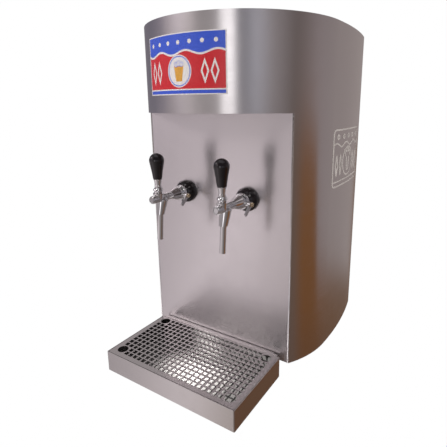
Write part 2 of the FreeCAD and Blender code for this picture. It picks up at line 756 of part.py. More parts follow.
cap = rod_y(CAP_R, TAP_X, TAP_Z, BARREL_FRONT_Y - CAP_LEN, BARREL_FRONT_Y)
cap_edges = [e for e in cap.Edges if abs(e.CenterOfMass.y - (BARREL_FRONT_Y - CAP_LEN)) < 0.01]
cap = cap.makeChamfer(0.8, cap_edges)
cap = fuse([cap, rod_y(BORE_R - FIT, TAP_X, TAP_Z, BARREL_FRONT_Y, BARREL_FRONT_Y + 4)])
keep("front_caps", group(taps(cap)))

bonnet = rod_z(DOME_R, TAP_X, PIVOT_Y, BOSS_TOP, BONNET_TOP)
ball = Part.makeSphere(BALL_R, V(TAP_X, PIVOT_Y, PIVOT_Z))
ball = ball.common(tap_zone(BOSS_TOP, FERRULE_TOP))
bonnet = fuse([bonnet, ball])
bonnet = bonnet.cut(fan(10, PIVOT_Z - BOSS_TOP + 1))
bonnet = bonnet.cut(rod_x(EYE_R + FIT, PIVOT_Y, PIVOT_Z, TAP_X - SLOT_HALF, TAP_X + SLOT_HALF))
bonnet = bonnet.cut(rod_x(PIN_R + 0.15, PIVOT_Y, PIVOT_Z, TAP_X - 12, TAP_X + 12))
tap_pair("tap_bonnet", bonnet)
pivot_pin = rod_x(PIN_R, PIVOT_Y, PIVOT_Z, TAP_X - 6.8, TAP_X + 6.8)
keep("pivot_pins", group(taps(pivot_pin)))

# lever: dome shell, ferrule, shaft through the ball, eye and lower arm
shell = Part.makeSphere(DOME_R, V(TAP_X, PIVOT_Y, PIVOT_Z))
shell = shell.cut(Part.makeSphere(BALL_R + FIT, V(TAP_X, PIVOT_Y, PIVOT_Z)))
shell = shell.common(tap_zone(PIVOT_Z + DOME_RIM, FERRULE_TOP))
ferrule_low = PIVOT_Z + BALL_R + 1.0
ferrule = turned_z(
    [
        (0, ferrule_low),
        (FERRULE_R, ferrule_low),
        (FERRULE_R, PIVOT_Z + 11.5),
        (FERRULE_R - 0.6, PIVOT_Z + 13.0),
        (FERRULE_TOP_R, FERRULE_TOP - 1.5),
        (FERRULE_TOP_R, FERRULE_TOP),
        (KNOB_STUD_R, FERRULE_TOP),
        (KNOB_STUD_R, FERRULE_TOP + KNOB_STUD_LEN),
        (0, FERRULE_TOP + KNOB_STUD_LEN),
    ],
    TAP_X,
    PIVOT_Y,
)
arm = rod_z(ARM_R, TAP_X, PIVOT_Y, PIVOT_Z - LEVER_ARM, PIVOT_Z + BALL_R + 2)
eye = rod_x(EYE_R, PIVOT_Y, PIVOT_Z, TAP_X - 2.1, TAP_X + 2.1)
arm_ball = Part.makeSphere(ARM_BALL_R, V(TAP_X, PIVOT_Y, PIVOT_Z - LEVER_ARM))
stem = fuse([shell, ferrule, arm, eye, arm_ball])
stem = stem.cut(rod_x(PIN_R + 0.15, PIVOT_Y, PIVOT_Z, TAP_X - 5, TAP_X + 5))
tap_pair("lever_stem", stem)

# knob: a slender cone below a half ball; points are shares of radius and height
knob_shares = [(0.0, 0.0), (0.57, 0.0), (0.61, 0.03), (0.68, 0.18), (0.78, 0.36), (0.90, 0.54), (0.98, 0.66)]
ball_share = KNOB_R / KNOB_H
for step in range(9):
    t = math.radians(90.0 * step / 8)
    knob_shares.append((math.cos(t) if step < 8 else 0.0, 1 - ball_share + ball_share * math.sin(t)))
knob = turned_z([(KNOB_R * r, FERRULE_TOP + KNOB_H * h) for r, h in knob_shares], TAP_X, PIVOT_Y)
stud_hole = rod_z(KNOB_STUD_R + FIT, TAP_X, PIVOT_Y, FERRULE_TOP - 1, FERRULE_TOP + KNOB_STUD_LEN + 0.5)
knob = knob.cut(stud_hole)
tap_pair("lever_knob", knob)

# plunger: guide head with a pocket for the arm ball, rod and seal disc
pocket_half = ARM_BALL_R + 0.45
plunger = fuse(
    [
        rod_y(BORE_R - 0.4, TAP_X, TAP_Z, PIVOT_Y - 8, PIVOT_Y + 8),
        rod_y(2.5, TAP_X, TAP_Z, PIVOT_Y + 8, SEAT_Y + 1),
        rod_y(BORE_R + 0.8, TAP_X, TAP_Z, SEAT_Y + 0.3, SEAT_Y + 3.8),
    ]
)
pocket = box(
    TAP_X - pocket_half,
    TAP_X + pocket_half,
    PIVOT_Y - pocket_half,
    PIVOT_Y + pocket_half,
    PIVOT_Z - LEVER_ARM - ARM_BALL_R - 0.4,
    TAP_Z + 10,
)
# the pocket opens out above the ball, where the tilted arm leans forward
ball_z = PIVOT_Z - LEVER_ARM
flare_rise = TAP_Z + 10 - ball_z
flare = profile_x(
    [
        (PIVOT_Y, ball_z),
        (PIVOT_Y - lean, ball_z),
        (PIVOT_Y - lean - flare_rise * swing, ball_z + flare_rise),
        (PIVOT_Y, ball_z + flare_rise),
    ],
    TAP_X - pocket_half,
    TAP_X + pocket_half,
)
tap_pair("tap_plunger", plunger.cut(pocket).cut(flare))

spout_len = math.hypot(SPOUT_TOP_Z - SPOUT_BOTTOM_Z, SPOUT_TOP_Y - SPOUT_BOTTOM_Y)
spout = rod(SPOUT_R, spout_top, spout_dir, spout_len)
spout = spout.cut(rod(SPOUT_BORE_R, spout_top - spout_dir, spout_dir, spout_len + 2))
tap_pair("tap_spout", spout)

# flow lever on each compensator: turned pivot knob on the right side with a
# flat finger pointing forward and down
flow_x = TAP_X + BODY_R + FLOW_BOSS_REACH + 0.2
hub = rod_x(5.6, FLOW_PIVOT_Y, FLOW_Z, flow_x, flow_x + FLOW_T)
stud = rod_x(1.3, FLOW_PIVOT_Y, FLOW_Z, flow_x - 5, flow_x + 1)
tip_y = FLOW_PIVOT_Y - 15.5
tip_z = FLOW_Z - 15.5
blade = profile_x(
    [
        (FLOW_PIVOT_Y - 3.2, FLOW_Z + 3.6),
        (FLOW_PIVOT_Y + 3.2, FLOW_Z - 3.6),
        (tip_y + 2.2, tip_z - 2.5),
        (tip_y - 2.2, tip_z + 2.5),
    ],
    flow_x + 0.8,
    flow_x + FLOW_T - 0.8,
)
tip = rod_x(3.35, tip_y, tip_z, flow_x + 0.8, flow_x + FLOW_T - 0.8)
tap_pair("flow_lever", fuse([hub, stud, blade, tip]))

# ============ coils and beer lines ============
coil_top = COIL_Z + COIL_PITCH * COIL_TURNS
tangent = V(0, -1, 0)
coil_low_end = V(COIL_X - COIL_R, COIL_Y, COIL_Z)
coil_high_end = V(COIL_X - COIL_R, COIL_Y, coil_top)
# each half turn is a half circle tilted by the pitch, so the turns run
# smoothly into one another
half_rise = COIL_PITCH / 2.0
half_r = math.hypot(COIL_R, half_rise / 2.0)
coil_edges = []
for i in range(2 * COIL_TURNS):
    side = -1 if i % 2 == 0 else 1
    z0 = COIL_Z + i * half_rise
    p0 = V(COIL_X + side * COIL_R, COIL_Y, z0)
    p1 = V(COIL_X, COIL_Y + side * half_r, z0 + half_rise / 2)
    p2 = V(COIL_X - side * COIL_R, COIL_Y, z0 + half_rise)
    coil_edges.append(Part.Arc(p0, p1, p2).toShape())
coil_wire = Part.Wire(coil_edges)
pair("coil", tube(coil_wire, coil_low_end, tangent))

low_turn = coil_low_end - tangent * (RISER_Y - COIL_Y)
feed_path = tube_path(
    [
        coil_low_end,
        low_turn,
        V(low_turn.x, low_turn.y, INLET_Z - 90),
        V(INLET_X, RISER_Y - 5, INLET_Z - 40),
        V(INLET_X, RISER_Y - 5, INLET_Z),
        V(INLET_X, INLET_INNER_Y + 6, INLET_Z),
    ],
    12.0,
)
pair("feed_line", tube(feed_path, coil_low_end, tangent * -1))

deliver_path = tube_path(
    [
        coil_high_end,
        coil_high_end + tangent * 62,
        V(TAP_X, 88, TAP_Z),
        V(TAP_X, SHANK_REAR_Y - 7.5, TAP_Z),
    ],
    13.0,
)
pair("delivery_line", tube(deliver_path, coil_high_end, tangent))

unions = []
for at, along in ((coil_low_end, tangent * -1), (coil_high_end, tangent)):
    sleeve = rod(TUBE_R + 2.6, at - along * 3.5, along, 18)
    sleeve = sleeve.cut(rod(TUBE_R + FIT, at - along * 5, along, 21))
    unions.extend(both(sleeve))
keep("coil_unions", group(unions))

# ============ rear fittings ============
plate = slab(PLATE_W / 2, BACK_Y, BACK_Y + PLATE_T, INLET_Z - PLATE_H / 2, INLET_Z + PLATE_H / 2)
plate_edges = [e for e in plate.Edges if abs(e.Length - PLATE_T) < 0.01]
plate = plate.makeFillet(6.0, plate_edges)
plate_screws = []
for sx, sz in screw_spots:
    plate = plate.cut(rod_y(SCREW_R + FIT, sx, sz, BACK_Y - 5, BACK_Y + 5))
    head = rod_y(4.0, sx, sz, BACK_Y + PLATE_T, BACK_Y + PLATE_T + 2.4)
    plate_screws.append(fuse([head, rod_y(SCREW_R, sx, sz, BACK_Y - 8, BACK_Y + PLATE_T)]))
for s in (-1, 1):
    plate = plate.cut(rod_y(INLET_THREAD_R + 0.5, s * INLET_X, INLET_Z, BACK_Y - 5, BACK_Y + 5))
keep("rear_plate", plate)
keep("plate_screws", group(plate_screws))

plate_face = BACK_Y + PLATE_T
inlet_end = plate_face + FLANGE_T + INLET_LEN
inlet = rod_y(INLET_THREAD_R, INLET_X, INLET_Z, INLET_INNER_Y, inlet_end)
inlet = fuse([inlet, prism_y(6, UNION_FLATS, INLET_X, INLET_Z, plate_face, plate_face + FLANGE_T)])
inlet = inlet.cut(rod_y(TUBE_BORE_R, INLET_X, INLET_Z, INLET_INNER_Y - 1, inlet_end + 1))
inlet = inlet.cut(rod_y(TUBE_R + FIT, INLET_X, INLET_Z, INLET_INNER_Y - 1, INLET_INNER_Y + 6.3))
pair("inlet_union", inlet)
inlet_nut = prism_y(6, UNION_FLATS, INLET_X, INLET_Z, REAR_FACE - FLANGE_T, REAR_FACE)
inlet_nut = inlet_nut.cut(rod_y(INLET_THREAD_R + FIT, INLET_X, INLET_Z, REAR_FACE - 9, REAR_FACE + 1))
keep("inlet_nuts", group(both(inlet_nut)))

# drain valve with a quarter-turn lever
hub_y = BACK_Y + 26
valve_y0 = hub_y - 14
valve_y1 = hub_y + 14
handle_top = DRAIN_Z + VALVE_R + 5.2
valve = fuse(
    [
        rod_y(DRAIN_R, 0, DRAIN_Z, REAR_FACE - 12, valve_y0),
        prism_y(6, UNION_FLATS, 0, DRAIN_Z, BACK_Y, BACK_Y + FLANGE_T),
        rod_y(VALVE_R, 0, DRAIN_Z, valve_y0, valve_y1),
        rod_y(DRAIN_R, 0, DRAIN_Z, valve_y1, BACK_Y + DRAIN_END),
        rod_z(6.0, 0, hub_y, DRAIN_Z, handle_top - 0.2),
        rod_z(VALVE_STEM_R, 0, hub_y, DRAIN_Z, handle_top + 6.8),
    ]
)
valve = valve.cut(rod_y(DRAIN_BORE_R, 0, DRAIN_Z, REAR_FACE - 13, BACK_Y + DRAIN_END + 1))
keep("drain_valve", valve)
drain_nut = prism_y(6, UNION_FLATS, 0, DRAIN_Z, REAR_FACE - FLANGE_T, REAR_FACE)
drain_nut = drain_nut.cut(rod_y(DRAIN_R + FIT, 0, DRAIN_Z, REAR_FACE - 9, REAR_FACE + 1))
keep("drain_nut", drain_nut)
drain_lever = fuse(
    [
        rod_z(8.0, 0, hub_y, handle_top, handle_top + 4),
        box(0, 26, hub_y - 6, hub_y + 6, handle_top, handle_top + 3),
        rod_z(6.0, 26, hub_y, handle_top, handle_top + 3),
    ]
)
drain_lever = drain_lever.cut(rod_z(VALVE_STEM_R + FIT, 0, hub_y, handle_top - 1, handle_top + 5))
keep("drain_lever", drain_lever)

# ============ drip tray ============
half = TRAY_W / 2
tray = slab(half, TRAY_FRONT_Y, TRAY_REAR_Y, 0, TRAY_H)
tray_ends = [e for e in tray.Edges if abs(e.Length - TRAY_H) < 0.01]
tray = tray.makeFillet(TRAY_CORNER_R, tray_ends)
hollow = slab(
    half - TRAY_SHEET,
    TRAY_FRONT_Y + TRAY_SHEET,
    TRAY_REAR_Y - TRAY_SHEET,
    TRAY_SHEET,
    TRAY_H + 1,
)
inner_ends = [e for e in hollow.Edges if abs(e.Length - (TRAY_H + 1 - TRAY_SHEET)) < 0.01]
hollow = hollow.makeFillet(TRAY_CORNER_R - TRAY_SHEET, inner_ends)
tray = tray.cut(hollow)
ledge_z = TRAY_H - GRILLE_T
ledge_x = half - TRAY_SHEET - LEDGE
ledge = box(ledge_x, half, TRAY_FRONT_Y, TRAY_REAR_Y, ledge_z - TRAY_SHEET, ledge_z).common(hollow)
# rear rim: a strip going back with a down-turned lip, hung on the bracket
hook = profile_x(
    [
        (TRAY_REAR_Y - 0.6, TRAY_H - TRAY_SHEET),
        (TRAY_REAR_Y - 0.6, TRAY_H),
        (HOOK_Y, TRAY_H),
        (HOOK_Y, TRAY_H - HOOK_LIP),
        (HOOK_Y - TRAY_SHEET, TRAY_H - HOOK_LIP),
        (HOOK_Y - TRAY_SHEET, TRAY_H - TRAY_SHEET),
    ],
    -HOOK_W / 2,
    HOOK_W / 2,
)
tray = fuse([tray, hook] + both(ledge))
keep("drip_tray", tray)

# bracket: a channel screwed to the panel, with a front lip behind the tray's
lip_y = HOOK_Y - TRAY_SHEET - 1.6
bracket_floor = BODY_BOTTOM + 1
bracket = profile_x(
    [
        (0, TRAY_H - 1.4),
        (0, bracket_floor),
        (lip_y - TRAY_SHEET, bracket_floor),
        (lip_y - TRAY_SHEET, TRAY_H - 2.0),
        (lip_y, TRAY_H - 2.0),
        (lip_y, bracket_floor + TRAY_SHEET),
        (-TRAY_SHEET, bracket_floor + TRAY_SHEET),
        (-TRAY_SHEET, TRAY_H - 1.4),
    ],
    -HOOK_W / 2 + 10,
    HOOK_W / 2 - 10,
)
keep("tray_bracket", bracket)

grille_half = half - TRAY_SHEET - GRILLE_GAP
grille_front = TRAY_FRONT_Y + TRAY_SHEET + GRILLE_GAP
grille_back = TRAY_REAR_Y - TRAY_SHEET - GRILLE_REAR_GAP
grille = slab(grille_half, grille_front, grille_back, ledge_z, TRAY_H)
cols = int((half - GRILLE_EDGE) / GRILLE_PITCH)
rows = int((grille_back - GRILLE_MID_Y - GRILLE_EDGE) / GRILLE_PITCH)
finger_x = GRILLE_PITCH * (cols - 0.5)
finger_y = GRILLE_PITCH * (rows - 0.5)
hole_half = GRILLE_HOLE / 2
holes = []
for i in range(-cols, cols + 1):
    for j in range(-rows, rows + 1):
        if abs(i) > cols - 2 and abs(j) > rows - 2:
            continue
        cx = i * GRILLE_PITCH
        cy = GRILLE_MID_Y + j * GRILLE_PITCH
        hole = box(cx - hole_half, cx + hole_half, cy - hole_half, cy + hole_half, ledge_z - 1, TRAY_H + 1)
        holes.append(hole)
for sx in (-1, 1):
    for sy in (-1, 1):
        holes.append(rod_z(FINGER_R, sx * finger_x, GRILLE_MID_Y + sy * finger_y, ledge_z - 1, TRAY_H + 1))
grille = grille.cut(group(holes))
keep("tray_grille", grille)

for name, shape in PIECES.items():
    shape.translate(V(0, SHIFT_Y, 0))
    shape.exportStep("parts/" + name + ".step")
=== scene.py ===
import json
import math

import bpy
from mathutils import Matrix, Vector


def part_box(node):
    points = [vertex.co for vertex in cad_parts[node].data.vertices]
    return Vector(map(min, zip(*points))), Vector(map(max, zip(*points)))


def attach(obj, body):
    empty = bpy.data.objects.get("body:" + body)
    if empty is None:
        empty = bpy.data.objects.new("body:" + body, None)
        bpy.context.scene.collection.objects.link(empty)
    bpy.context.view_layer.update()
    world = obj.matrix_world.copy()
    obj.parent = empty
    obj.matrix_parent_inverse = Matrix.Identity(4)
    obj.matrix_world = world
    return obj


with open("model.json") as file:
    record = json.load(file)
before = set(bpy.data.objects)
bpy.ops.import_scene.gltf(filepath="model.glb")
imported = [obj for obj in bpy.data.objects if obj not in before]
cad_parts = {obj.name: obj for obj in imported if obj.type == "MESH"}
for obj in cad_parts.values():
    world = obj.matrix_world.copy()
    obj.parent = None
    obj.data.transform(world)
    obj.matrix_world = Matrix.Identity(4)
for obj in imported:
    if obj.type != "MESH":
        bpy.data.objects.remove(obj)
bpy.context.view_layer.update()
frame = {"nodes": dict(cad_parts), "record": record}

N = frame["nodes"]
# places of the main parts, in metres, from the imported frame
PANEL_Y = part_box("front_panel")[0].y
PANEL_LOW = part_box("front_panel")[0].z
HEADER_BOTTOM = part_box("header_soffit")[0].z
TRAY_LOW, TRAY_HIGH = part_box("drip_tray")
# the tray's back wall stands this far behind the grille
TRAY_BACK_GAP = 0.0025
TRAY_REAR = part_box("tray_grille")[1].y + TRAY_BACK_GAP
BADGE_LOW, BADGE_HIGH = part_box("front_badge")
BADGE_Z = (BADGE_LOW.z + BADGE_HIGH.z) / 2
# radius of the label's curved face
BADGE_R = 0.2057
BADGE_TURN = (math.asin(BADGE_LOW.x / BADGE_R) + math.asin(BADGE_HIGH.x / BADGE_R)) / 2
# plan of the casing: a front arc and, past SWEEP, flatter side arcs
FRONT_R = 0.205
PANEL_TO_CENTRE = 0.1145
FRONT_CY = PANEL_Y + PANEL_TO_CENTRE
SIDE_R = 0.870
SWEEP = math.radians(86.0)
SIDE_CX = (FRONT_R - SIDE_R) * math.sin(SWEEP)
SIDE_CY = FRONT_CY - (FRONT_R - SIDE_R) * math.cos(SWEEP)


# ---------------------------------------------------------------- node helpers
# a noise node's values lie mostly between these
NOISE_LOW, NOISE_HIGH = 0.3, 0.7


class Tree:
    """A material with one Principled shader, and helpers that add its nodes."""

    def __init__(self, name):
        self.mat = bpy.data.materials.new(name)
        self.mat.use_nodes = True
        self.t = self.mat.node_tree
        self.t.nodes.clear()
        self.out = self.t.nodes.new("ShaderNodeOutputMaterial")
        self.bsdf = self.t.nodes.new("ShaderNodeBsdfPrincipled")
        self.t.links.new(self.bsdf.outputs[0], self.out.inputs[0])
        self.coord = self.t.nodes.new("ShaderNodeTexCoord").outputs["Object"]

    def node(self, kind, **values):
        n = self.t.nodes.new(kind)
        for k, v in values.items():
            setattr(n, k, v)
        return n

    def link(self, a, b):
        self.t.links.new(a, b)

    def put(self, socket, value):
        if isinstance(value, bpy.types.NodeSocket):
            self.link(value, socket)
        else:
            socket.default_value = value

    def math(self, op, a, b=0.0):
        n = self.node("ShaderNodeMath", operation=op)
        self.put(n.inputs[0], a)
        self.put(n.inputs[1], b)
        return n.outputs[0]

    def mix(self, fac, a, b):
        n = self.node("ShaderNodeMix", data_type="RGBA")
        self.put(n.inputs[0], fac)
        self.put(n.inputs[6], a)
        self.put(n.inputs[7], b)
        return n.outputs[2]

    def scaled(self, scale):
        """Object coordinates times scale; one number serves all three axes."""
        m = self.node("ShaderNodeMapping")
        m.inputs["Scale"].default_value = scale if isinstance(scale, tuple) else (scale,) * 3
        self.link(self.coord, m.inputs[0])
        return m.outputs[0]

    def noise(self, scale, detail, rough):
        place = self.scaled(scale)
        n = self.node("ShaderNodeTexNoise")
        n.inputs["Scale"].default_value = 1.0
        n.inputs["Detail"].default_value = detail
        n.inputs["Roughness"].default_value = rough
        self.link(place, n.inputs["Vector"])
        return n.outputs[0]

    def span(self, value, low, high):
        """A noise value stretched to run from low to high."""
        n = self.node("ShaderNodeMapRange")
        self.put(n.inputs[0], value)
        n.inputs[1].default_value = NOISE_LOW
        n.inputs[2].default_value = NOISE_HIGH
        n.inputs[3].default_value = low
        n.inputs[4].default_value = high
        return n.outputs[0]

    def bump(self, height, strength, distance):
        n = self.node("ShaderNodeBump")
        n.inputs["Strength"].default_value = strength
        n.inputs["Distance"].default_value = distance
        self.link(height, n.inputs["Height"])
        self.link(n.outputs[0], self.bsdf.inputs["Normal"])

    def set(self, name, value):
        self.put(self.bsdf.inputs[name], value)


def tone(c, k):
    return (c[0] * k, c[1] * k, c[2] * k, 1.0)


# painted shade: a dark, dull tone on the tray's inner faces stands in for the shade inside the
# tray
BASIN_PAINTED_SHADE = (0.055, 0.052, 0.050, 1)
BASIN_SHINE = 0.15
BASIN_INSET = 0.0008


def basin_painted_shade_mask(t):
    """1 on the inner faces of the drip tray, which are coloured dark and dull as painted shade
    for the shade inside the tray.
    """
    s = t.node("ShaderNodeSeparateXYZ")
    t.link(t.coord, s.inputs[0])
    inside = None
    ends = (TRAY_HIGH.x, TRAY_REAR, TRAY_HIGH.z + BASIN_INSET)
    for value, a, b in zip(s.outputs, TRAY_LOW, ends):
        off = t.math("ABSOLUTE", t.math("SUBTRACT", value, (a + b) / 2))
        near = t.math("LESS_THAN", off, (b - a) / 2 - BASIN_INSET)
        inside = near if inside is None else t.math("MULTIPLY", inside, near)
    return inside


def brushed(
    name, color, rough, grain, aniso, tangent=(0, 0, 1), spread=0.025, bump=0.018, basin=False
):
    """Brushed sheet: grain is the noise scale, small along the strokes."""
    t = Tree(name)
    fine = t.noise(grain, 4.0, 0.6)
    smudge = t.noise(9, 3.0, 0.5)
    wear = t.noise(38, 4.0, 0.6)
    shade = t.mix(t.span(fine, 0, 1), tone(color, 0.985), tone(color, 1.01))
    shade = t.mix(t.span(smudge, 0, 0.25), shade, tone(color, 0.93))
    if basin:
        # painted shade: the tray's inner faces get the dark tone in place of the shade inside
        # the tray
        inside = basin_painted_shade_mask(t)
        shade = t.mix(inside, shade, BASIN_PAINTED_SHADE)
        t.set("Specular IOR Level", BASIN_SHINE)
        t.set("Metallic", t.math("SUBTRACT", 1.0, inside))
    else:
        t.set("Metallic", 1.0)
    t.set("Base Color", shade)
    base = t.span(fine, rough - spread, rough + spread)
    t.set("Roughness", t.math("ADD", base, t.math("MULTIPLY", t.span(wear, -1, 1), 0.02)))
    t.set("Anisotropic", aniso)
    way = t.node("ShaderNodeCombineXYZ")
    for i in range(3):
        way.inputs[i].default_value = tangent[i]
    t.link(way.outputs[0], t.bsdf.inputs["Tangent"])
    t.bump(fine, bump, 0.0002)
    return t.mat


def polished(name, color, rough, spread=0.03):
    """Smooth metal with a faint haze."""
    t = Tree(name)
    haze = t.noise(60, 4.0, 0.6)
    specks = t.noise(900, 2.0, 0.5)
    t.set("Base Color", t.mix(t.span(haze, 0, 1), tone(color, 0.95), tone(color, 1.0)))
    t.set("Metallic", 1.0)
    t.set("Roughness", t.span(haze, rough, rough + spread))
    t.bump(specks, 0.02, 0.0001)
    return t.mat


def moulded(name, color, rough, coat=0.0, grain=1200, bump=0.05, shine=0.5):
    """Plastic, rubber or paint with a fine skin."""
    t = Tree(name)
    body = t.noise(30, 4.0, 0.6)
    skin = t.noise(grain, 3.0, 0.5)
    t.set("Base Color", t.mix(t.span(body, 0, 1), tone(color, 0.88), tone(color, 1.12)))
    t.set("Roughness", t.span(body, rough - 0.04, rough + 0.05))
    t.set("Specular IOR Level", shine)
    t.set("Coat Weight", coat)
    t.set("Coat Roughness", 0.05)
    t.bump(skin, bump, 0.0002)
    return t.mat


def foamed(name, color):
    """Rigid foam with small cells."""
    t = Tree(name)
    cells = t.node("ShaderNodeTexVoronoi")
    t.link(t.scaled(420), cells.inputs["Vector"])
    stain = t.noise(14, 4.0, 0.6)
    t.set("Base Color", t.mix(t.span(stain, 0, 1), tone(color, 0.86), tone(color, 1.04)))
    t.set("Roughness", t.span(stain, 0.8, 0.95))
    t.bump(cells.outputs[0], 0.3, 0.0006)
    return t.mat


# ---------------------------------------------------------------- badge artwork
# sizes and places in metres; u runs around the header and v upwards, both from the
# label's middle
WAVE_PITCH, WAVE_RISE, WAVE_V, WAVE_LINE_HALF = 0.061, 0.0035, 0.0185, 0.0016
STRIPE_WHITE_V, STRIPE_BLUE_V = -0.0410, -0.0432
DIAMONDS_U, DIAMOND_V = (-0.071, -0.053, 0.053, 0.071), -0.0125
DIAMOND_OUTER, DIAMOND_INNER = (0.0078, 0.021), (0.0045, 0.0125)
DOTS_EACH_SIDE, DOT_PITCH, DOT_V, DOT_R = 3, 0.0245, 0.0355, 0.0036
DISC_V, DISC_RADII = -0.0115, (0.0270, 0.0252, 0.0236)
GLASS_FOOT_V, GLASS_FOOT_HALF, GLASS_SLANT = -0.0285, 0.0068, 0.16
GLASS_V, GLASS_HALF_W, GLASS_HALF_H = -0.0155, 0.02, 0.0130
FROTH = ((-0.0062, -0.0005, 0.0042), (0.0, 0.0012, 0.0050), (0.0062, -0.0005, 0.0042))
FROTH_LINE = 0.0010
PRINT_HALF_W, PRINT_HALF_H = 0.0895, 0.0490
WHITE = (0.74, 0.72, 0.70, 1)
BLUE = (0.040, 0.095, 0.56, 1)
RED = (0.56, 0.020, 0.028, 1)
AMBER = (0.66, 0.34, 0.05, 1)
FADED = (0.30, 0.28, 0.28, 1)


def badge_material():
    """Generic label: wavy blue band over red, with a glass in a white disc."""
    t = Tree("badge_print")
    s = t.node("ShaderNodeSeparateXYZ")
    t.link(t.coord, s.inputs[0])
    x, y, z = s.outputs
    depth = t.math("SUBTRACT", FRONT_CY, y)
    turn = t.math("SUBTRACT", t.math("ARCTAN2", x, depth), BADGE_TURN)
    u = t.math("MULTIPLY", turn, BADGE_R)
    v = t.math("SUBTRACT", z, BADGE_Z)

    def less(a, b):
        return t.math("LESS_THAN", a, b)

    def both(a, b):
        return t.math("MULTIPLY", a, b)

    def at(cu, cv):
        return t.math("SUBTRACT", u, cu), t.math("SUBTRACT", v, cv)

    def disc(cu, cv, r):
        du, dv = at(cu, cv)
        d = t.math("SQRT", t.math("ADD", both(du, du), both(dv, dv)))
        return less(d, r)

    def diamond(cu, cv, w, h):
        du, dv = at(cu, cv)
        a = t.math("DIVIDE", t.math("ABSOLUTE", du), w)
        b = t.math("DIVIDE", t.math("ABSOLUTE", dv), h)
        return less(t.math("ADD", a, b), 1.0)

    def block(cu, cv, w, h):
        du, dv = at(cu, cv)
        return both(less(t.math("ABSOLUTE", du), w), less(t.math("ABSOLUTE", dv), h))

    ripple = t.math("SINE", t.math("MULTIPLY", u, 2 * math.pi / WAVE_PITCH))
    over = t.math(
        "SUBTRACT", t.math("SUBTRACT", v, WAVE_V), t.math("MULTIPLY", ripple, WAVE_RISE)
    )
    shade = t.mix(less(-WAVE_LINE_HALF, over), RED, WHITE)
    shade = t.mix(less(WAVE_LINE_HALF, over), shade, BLUE)
    shade = t.mix(less(v, STRIPE_WHITE_V), shade, WHITE)
    shade = t.mix(less(v, STRIPE_BLUE_V), shade, BLUE)
    for cu in DIAMONDS_U:
        shade = t.mix(diamond(cu, DIAMOND_V, *DIAMOND_OUTER), shade, WHITE)
        shade = t.mix(diamond(cu, DIAMOND_V, *DIAMOND_INNER), shade, RED)
    for i in range(-DOTS_EACH_SIDE, DOTS_EACH_SIDE + 1):
        shade = t.mix(disc(i * DOT_PITCH, DOT_V, DOT_R), shade, WHITE)
    for r, color in zip(DISC_RADII, (WHITE, BLUE, WHITE)):
        shade = t.mix(disc(0, DISC_V, r), shade, color)
    du, dv = at(0, GLASS_FOOT_V)
    slope = t.math("ADD", t.math("MULTIPLY", dv, GLASS_SLANT), GLASS_FOOT_HALF)
    sides = less(t.math("ABSOLUTE", du), slope)
    glass = both(sides, block(0, GLASS_V, GLASS_HALF_W, GLASS_HALF_H))
    shade = t.mix(glass, shade, AMBER)
    for cu, cv, r in FROTH:
        shade = t.mix(disc(cu, cv, r), shade, BLUE)
        shade = t.mix(disc(cu, cv, r - FROTH_LINE), shade, WHITE)
    shade = t.mix(block(0, 0, PRINT_HALF_W, PRINT_HALF_H), WHITE, shade)
    fade = t.noise(26, 4.0, 0.6)
    shade = t.mix(t.span(fade, 0.0, 0.06), shade, FADED)
    t.set("Base Color", shade)
    t.set("Roughness", t.span(fade, 0.26, 0.36))
    t.set("Specular IOR Level", 0.25)
    t.set("Coat Weight", 0.10)
    t.bump(t.noise(700, 2.0, 0.5), 0.03, 0.0002)
    return t.mat


